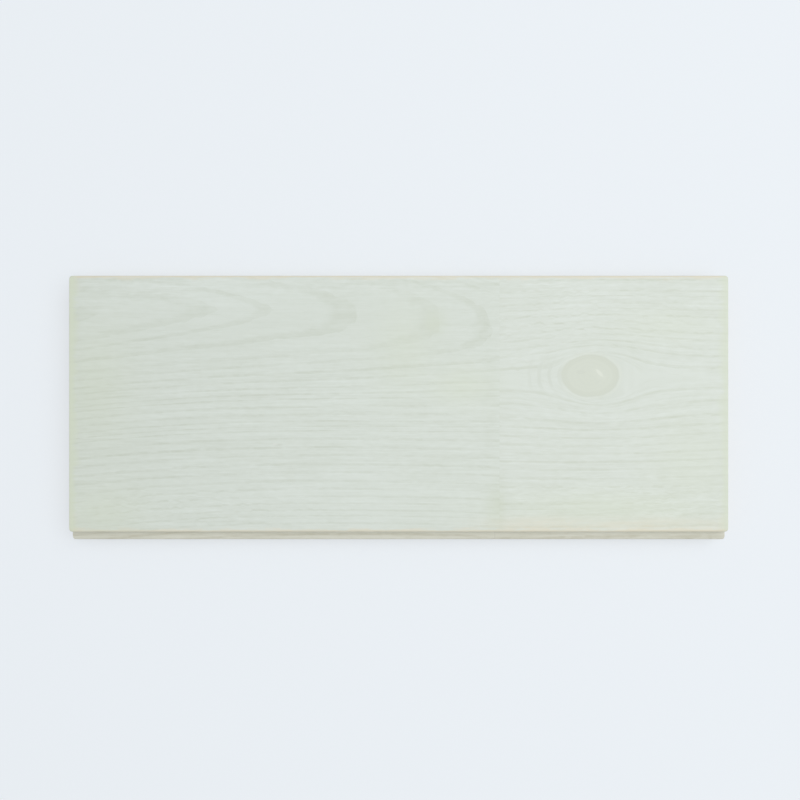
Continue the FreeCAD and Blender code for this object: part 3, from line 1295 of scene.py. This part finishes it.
def mark(pine, x, up, half_length, half_width, slant, seen):
    """The mask of a small mark, at a place from the middle of the show face."""
    graph = pine.graph
    from_x = graph.math("SUBTRACT", pine.x, x)
    from_y = graph.math("SUBTRACT", pine.y, up + FACE_CENTRE_Y)
    sizes = {"Half_Length": half_length, "Half_Width": half_width, "Slant": slant}
    return graph.product(pine.group(mark_group, X=from_x, Y=from_y, **sizes)["Mark"], seen)


def left_marks(pine, around):
    """A small pale spot of resin under the film, with a darker tail."""
    with_tail = pine.graph.blend(mark(pine, *RESIN_TAIL), around, TAIL_TONE)
    return pine.graph.blend(mark(pine, *RESIN), with_tail, RESIN_TONE)


left_face = face_material("left_stained_face", LEFT_SEED, LEFT_STAIN, LEFT_DARK_STAIN, left_marks)
print("made", left_face.name)

# %% [markdown]
# The knot is the end of a branch: a hard oval with rings of its own and a darker rim. It could be
# carved, but it was planed and stained with the rest and lies flush under the film, so it is
# colour and not shape. Its masks are ramps over the stored knot radius, which is 1 at the knot's
# edge and is made uneven first, as a branch is.

# %% The stained knot
KNOT_GRAIN = (0.12, 0.12, 0.12)
KNOT_RIPPLES = 34.0
KNOT_RING_TONE = 0.06
KNOT_TONE = 0.2
KNOT_CLOUD = 0.6
RIM_RISE = (0.7, 0.88)
RIM_FALL = (0.96, 1.02)
RIM_SEEN = 0.4
RIM_LEFT_OUTSIDE = 0.4
PALE_KNOT = colour(213.6, 220, 207.8)
DARK_KNOT = colour(206, 212.5, 199.5)


def knot_distance(pine, unevenness):
    """The stored knot radius, made uneven."""
    graph = pine.graph
    uneven = graph.noise(pine.place, KNOT_GRAIN, detail=3.0)
    radius = graph.math("SUBTRACT", graph.measure("knot"), unevenness / 2)
    return graph.math("MULTIPLY_ADD", uneven, unevenness, radius)


def knot_rings(pine, radius):
    """The branch's own rings, between -1 and 1."""
    return pine.graph.math("SINE", pine.graph.product(radius, KNOT_RIPPLES))


def knot_colour(pine, radius):
    """The stained knot: a middle tone, its own rings, a darker rim and some cloud."""
    graph = pine.graph
    into_rim = graph.ramp(radius, *RIM_RISE, 0.0, RIM_SEEN)
    out_of_rim = graph.ramp(radius, *RIM_FALL, 1.0, RIM_LEFT_OUTSIDE)
    tone = graph.total(graph.product(into_rim, out_of_rim), KNOT_TONE)
    tone = graph.math("MULTIPLY_ADD", knot_rings(pine, radius), KNOT_RING_TONE, tone)
    tone = graph.total(tone, graph.swing(pine.fibre["Cloud"], KNOT_CLOUD))
    return graph.blend(tone, PALE_KNOT, DARK_KNOT)


print("knot rings per radius", round(KNOT_RIPPLES / (2 * math.pi), 1))

# %% [markdown]
# On its left side the grain closes in front of the knot in a few faint arcs. The stored rings
# flow past them, so they are drawn as ripples of the knot radius, kept to a small window there.

# %% Arcs beside the knot
SWIRL_PITCH = 0.35
SWIRL_SEEN = 0.55
SWIRL_CRESTS = (0.1, 0.9)
SWIRL_SIDE = (KNOT_X - 22, KNOT_X - 17)
SWIRL_REACH = (1.9, 2.4)
SWIRL_HEIGHT = (5.0, 13.0)


def swirl(pine, radius):
    """Faint arcs round the left side of the knot."""
    graph = pine.graph
    arcs = graph.math("COSINE", graph.product(radius, 2 * math.pi / SWIRL_PITCH))
    crest = graph.ramp(arcs, *SWIRL_CRESTS)
    beside = graph.ramp(pine.x, *SWIRL_SIDE, 1.0, 0.0)
    near = graph.ramp(radius, *SWIRL_REACH, 1.0, 0.0)
    from_middle = graph.math("ABSOLUTE", graph.math("SUBTRACT", pine.y, KNOT_Y))
    level = graph.ramp(from_middle, *SWIRL_HEIGHT, 1.0, 0.0)
    where = graph.product(beside, near, level)
    return graph.product(graph.product(crest, where), SWIRL_SEEN)


print("arcs every", round(SWIRL_PITCH * KNOT_HALF_WIDTH * KNOT_STRETCH, 1), "mm along the board")

# %% [markdown]
# The right face takes its marks from the outside in: a pale halo where the grain closes round the
# knot, the arcs, the knot, and on the knot a painted highlight and a dark speck. Each is laid over
# the colour that the one before has left, which is how layers of glaze would be put on.

# %% Right face, with its knot
KNOT_UNEVENNESS = 0.14
KNOT_EDGE = (0.93, 1.03)
HALO_RISE = (0.98, 1.02)
HALO_FALL = (1.03, 1.15)
HALO_SEEN = 0.35
# The next two marks are a painted highlight: light caught on the knot, laid into its colour.
KNOT_HIGHLIGHT = (139.3, 21.3, 2.2, 3.6, 0.75, 0.6)
AROUND_KNOT_HIGHLIGHT = (139.0, 20.5, 5.0, 6.0, 0.6, 0.1)
DARK_SPECK = (126.3, 22.0, 4.2, 1.9, 0.0, 0.35)
HALO_TONE = colour(220, 226, 215)
SWIRL_TONE = colour(208, 215, 205)
# The pale tone of the painted highlight on the knot.
KNOT_HIGHLIGHT_TONE = colour(227, 232, 221)
SPECK_TONE = colour(203, 209, 198)
RIGHT_SEED = 40.0
RIGHT_STAIN = colour(215.8, 223, 214.8)
RIGHT_DARK_STAIN = colour(209.8, 217, 206.6)


def right_marks(pine, around):
    """The knot under the film, a little darker than the wood round it, a painted highlight and a speck.
    """
    graph = pine.graph
    radius = knot_distance(pine, KNOT_UNEVENNESS)
    halo = graph.product(graph.ramp(radius, *HALO_RISE), graph.ramp(radius, *HALO_FALL, 1.0, 0.0))
    around = graph.blend(graph.product(halo, HALO_SEEN), around, HALO_TONE)
    around = graph.blend(swirl(pine, radius), around, SWIRL_TONE)
    inside = graph.ramp(radius, *KNOT_EDGE, 1.0, 0.0)
    seen = graph.blend(inside, around, knot_colour(pine, radius))
    # A painted highlight on the knot, laid over the colour as a pale mark.
    knot_highlight = graph.math("MAXIMUM", mark(pine, *KNOT_HIGHLIGHT), mark(pine, *AROUND_KNOT_HIGHLIGHT))
    seen = graph.blend(knot_highlight, seen, KNOT_HIGHLIGHT_TONE)
    return graph.blend(mark(pine, *DARK_SPECK), seen, SPECK_TONE)


right_face = face_material("right_stained_face", RIGHT_SEED, RIGHT_STAIN, RIGHT_DARK_STAIN, right_marks)
print("made", right_face.name)

# %% [markdown]
# ### Bare pine
#
# Below the stain the wood is bare: straw-coloured spring wood, amber summer wood, fine streaks,
# and a brown core of branch where the knot goes through. The edges, the back and the ends all
# show it, so it is one function, which each gives its own two colours.

# %% Bare pine
BARE_EARLY = colour(231, 209, 170)
BARE_LATE = colour(205, 165, 112)
KNOT_EARLY = colour(190, 142, 92)
KNOT_LATE = colour(158, 106, 62)
BARE_STREAKS = 0.9
BARE_HAIRS = 0.5
BARE_DASHES = 0.25
BARE_KNOT_UNEVENNESS = 0.2
BARE_KNOT_RINGS = 0.3
BARE_KNOT_TONE = 0.5
BARE_KNOT_EDGE = (0.88, 1.0)


def bare_pine(pine, early, late):
    """Bare pine: spring wood, summer wood, fine streaks, resin canals, and the knot's brown core."""
    graph = pine.graph
    streak = graph.swing(pine.fibre["Streaks"], BARE_STREAKS)
    hair = graph.swing(pine.fibre["Hairs"], BARE_HAIRS)
    tint = graph.total(pine.latewood, streak, hair)
    tint = graph.math("MULTIPLY_ADD", pine.fibre["Dashes"], BARE_DASHES, tint)
    wood = graph.blend(tint, early, late)
    radius = knot_distance(pine, BARE_KNOT_UNEVENNESS)
    tone = graph.math("MULTIPLY_ADD", knot_rings(pine, radius), BARE_KNOT_RINGS, BARE_KNOT_TONE)
    knot_wood = graph.blend(tone, KNOT_EARLY, KNOT_LATE)
    return graph.blend(graph.ramp(radius, *BARE_KNOT_EDGE, 1.0, 0.0), wood, knot_wood)


print("spring and summer wood", [[round(v, 2) for v in tone[:3]] for tone in (BARE_EARLY, BARE_LATE)])

# %% [markdown]
# The moulded edges took what stain ran over the arris. The film fades down the shoulder and on
# the tongue, with a ragged foot, and the bottom of the groove stayed bare. A painted mask could
# say where, but stain runs down, so here height alone decides, with some noise.

# %% Moulded edges
EDGE_STAIN = colour(211, 214, 203)
EDGE_DARK_STAIN = colour(203, 206, 193)
EDGE_COVER = 0.9
RUN_LENGTH = 5.0
RUN_FOOT = TONGUE_BOTTOM - 1
RUN_HEAD = TONGUE_TOP + 2
EDGE_BUMP = 0.06


def edge_material():
    pine = Pine("moulded_edge")
    graph = pine.graph
    height = graph.math("MULTIPLY_ADD", graph.noise(pine.place, RAGGED, detail=3.0), RUN_LENGTH, pine.z)
    film = pine.film(
        Stain=EDGE_STAIN,
        Dark_Stain=EDGE_DARK_STAIN,
        Bare_Wood=bare_pine(pine, BARE_EARLY, BARE_LATE),
        Cover=graph.ramp(height, RUN_FOOT, RUN_HEAD, 0.0, EDGE_COVER),
    )
    return pine.finish(film["Color"], film["Roughness"], pine.fibre["Hairs"], EDGE_BUMP)


edge_pine = edge_material()
print("made", edge_pine.name)

# %% [markdown]
# The back was planed and never stained. A turning cutter leaves shallow waves across the board,
# one for each knife that passes, and they show in low light. Real waves in the mesh would need
# points every half millimetre, so they are a sine along the board in the bump, a little uneven
# because the feed was.

# %% Planed back
KNIFE_PITCH = 2.4
KNIFE_HEIGHT = 0.25
FEED = (0.02, 0.02, 0.02)
FEED_UNEVENNESS = 3.0
BACK_ROUGHNESS = 0.62
BACK_BUMP = 0.05


def back_material():
    pine = Pine("planed_back")
    graph = pine.graph
    wood = bare_pine(pine, BARE_EARLY, BARE_LATE)
    even_turns = graph.product(pine.x, 2 * math.pi / KNIFE_PITCH)
    turns = graph.math("MULTIPLY_ADD", graph.noise(pine.place, FEED), FEED_UNEVENNESS, even_turns)
    knife = graph.math("SINE", turns)
    height = graph.math("MULTIPLY_ADD", knife, KNIFE_HEIGHT, pine.fibre["Hairs"])
    return pine.finish(wood, BACK_ROUGHNESS, height, BACK_BUMP)


back_pine = back_material()
print("made", back_pine.name)

# %% [markdown]
# A sawn end is darker and rougher than the rest, because it shows the cut tubes of the fibres.
# The saw's teeth scored it from face to back. Cutting those scores in the mesh would be far too
# fine, so they are noise with no turns along the board and few through it. A breath of stain came
# over the end's upper arris.

# %% Sawn ends
END_EARLY = colour(222, 196, 154)
END_LATE = colour(176, 132, 84)
SCORE_TONE = colour(164, 124, 82)
END_STAIN = colour(203, 207, 192)
TEETH = (0.0, 1.1, 0.12)
SCORE_SPREAD = (0.35, 0.75)
SCORES_SEEN = 0.35
TOOTH_REACH = 2.0
END_STAIN_HEIGHTS = (THICKNESS - 0.6, THICKNESS + 1.0)
END_STAIN_SEEN = 0.7
END_ROUGHNESS = 0.75
END_BUMP = 0.12


def end_material():
    pine = Pine("sawn_end")
    graph = pine.graph
    wood = bare_pine(pine, END_EARLY, END_LATE)
    teeth = graph.noise(pine.place, TEETH)
    scored = graph.blend(graph.ramp(teeth, *SCORE_SPREAD, 0.0, SCORES_SEEN), wood, SCORE_TONE)
    height = graph.math("MULTIPLY_ADD", teeth, TOOTH_REACH, pine.z)
    stained = graph.ramp(height, *END_STAIN_HEIGHTS, 0.0, END_STAIN_SEEN)
    seen = graph.blend(stained, scored, END_STAIN)
    return pine.finish(seen, END_ROUGHNESS, teeth, END_BUMP)


end_pine = end_material()
print("made", end_pine.name)

# %% [markdown]
# ## Dress the two lengths
#
# The pieces ride on the one body that the board has, and each replaces its own node. The order of
# the materials is the order of the zones.

# %% Materials and frame
dressing = ((left_piece, "left_length", left_face), (right_piece, "right_length", right_face))
for piece, node, face in dressing:
    for material in (face, edge_pine, back_pine, end_pine):
        piece.data.materials.append(material)
    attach(piece, "root")
    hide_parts(node)
    print(piece.name, "stands for", node)

# %% [markdown]
# ## Floor, light and camera
#
# The board lies on its back on a plain pale floor. The floor's own shader takes the board's soft
# shadow. More lamp light would make the floor paler, but it would bleach the board too, so a
# share of the floor glows to the camera alone. The floor lies a hair under the board, so that
# their faces don't flicker.

# %% Floor
FLOOR_HALF = 4.0
FLOOR_DROP = 0.0002
FLOOR_COLOUR = colour(234, 240, 245)
FLOOR_ROUGHNESS = 0.9
GLOW_COLOUR = colour(238, 243, 248)
GLOW_SHARE = 0.6

corners = [(a * FLOOR_HALF, b * FLOOR_HALF, 0) for a, b in ((-1, -1), (1, -1), (1, 1), (-1, 1))]
floor_mesh = bpy.data.meshes.new("floor")
floor_mesh.from_pydata(corners, [], [(0, 1, 2, 3)])
floor = bpy.data.objects.new("floor", floor_mesh)
bpy.context.scene.collection.objects.link(floor)
floor.location.z = -FLOOR_DROP
floor_material = bpy.data.materials.new("pale_floor")
floor_material.use_nodes = True
floor_nodes = floor_material.node_tree.nodes
floor_graph = Graph(floor_material.node_tree)
floor_shader = floor_nodes["Principled BSDF"]
floor_shader.inputs["Base Color"].default_value = FLOOR_COLOUR
floor_shader.inputs["Roughness"].default_value = FLOOR_ROUGHNESS
glow = floor_graph.node("ShaderNodeEmission", [("Color", GLOW_COLOUR)])
to_camera = floor_graph.node("ShaderNodeLightPath").outputs["Is Camera Ray"]
glowing = floor_graph.product(to_camera, GLOW_SHARE)
shaders = (glowing, floor_shader.outputs[0], glow.outputs[0])
mixed = floor_graph.node("ShaderNodeMixShader", enumerate(shaders))
floor_graph.feed(floor_nodes["Material Output"].inputs["Surface"], mixed.outputs[0])
floor_mesh.materials.append(floor_material)
print("floor", 2 * FLOOR_HALF, "m across")

# %% [markdown]
# The light is that of a photo studio: an even grey world from all sides, and one large soft lamp
# high on the right, which faces the middle of the board. Three small lamps would do as well, but
# each would leave its own shadow. Together these two light a colour about as it is written. The
# camera sees the world paler than it lights.

# %% Light
WORLD_LIGHT = 0.49
SKY_COLOUR = colour(233, 239, 245)
SOFTBOX_PLACE = (1.05, 0.4, 2.4)
SOFTBOX_SIZE = 3.0
SOFTBOX_WATTS = 50.5

world = bpy.data.worlds.new("studio")
bpy.context.scene.world = world
world.use_nodes = True
world_graph = Graph(world.node_tree)
to_camera = world_graph.node("ShaderNodeLightPath").outputs["Is Camera Ray"]
sky = world_graph.blend(to_camera, (WORLD_LIGHT, WORLD_LIGHT, WORLD_LIGHT, 1.0), SKY_COLOUR)
world_graph.feed(world.node_tree.nodes["Background"].inputs["Color"], sky)

lamp = bpy.data.lights.new("softbox_right", "AREA")
lamp.size = SOFTBOX_SIZE
lamp.energy = SOFTBOX_WATTS
softbox = bpy.data.objects.new("softbox_right", lamp)
softbox.location = SOFTBOX_PLACE
softbox.rotation_euler = (-Vector(SOFTBOX_PLACE)).to_track_quat("-Z", "Y").to_euler()
bpy.context.scene.collection.objects.link(softbox)

# %% [markdown]
# The camera looks straight down from about half a metre, which is near enough for the tongue,
# lower than the face, to look shorter than it is. A camera further off with a longer lens would
# lose that.

# %% Camera
CAMERA_ABOVE_FACE = 539.3
CAMERA_X = 0.9
CAMERA_Y = FACE_CENTRE_Y + 2.6
LENS = 35.0
SENSOR_WIDTH = 36.0

camera_data = bpy.data.cameras.new("camera")
camera_data.lens = LENS
camera_data.sensor_width = SENSOR_WIDTH
camera = bpy.data.objects.new("camera", camera_data)
camera.location = (CAMERA_X * MM, CAMERA_Y * MM, (THICKNESS + CAMERA_ABOVE_FACE) * MM)
bpy.context.scene.collection.objects.link(camera)
bpy.context.scene.camera = camera
bpy.context.scene.view_settings.view_transform = "Standard"
print("camera height", round(camera.location.z, 3), "m")
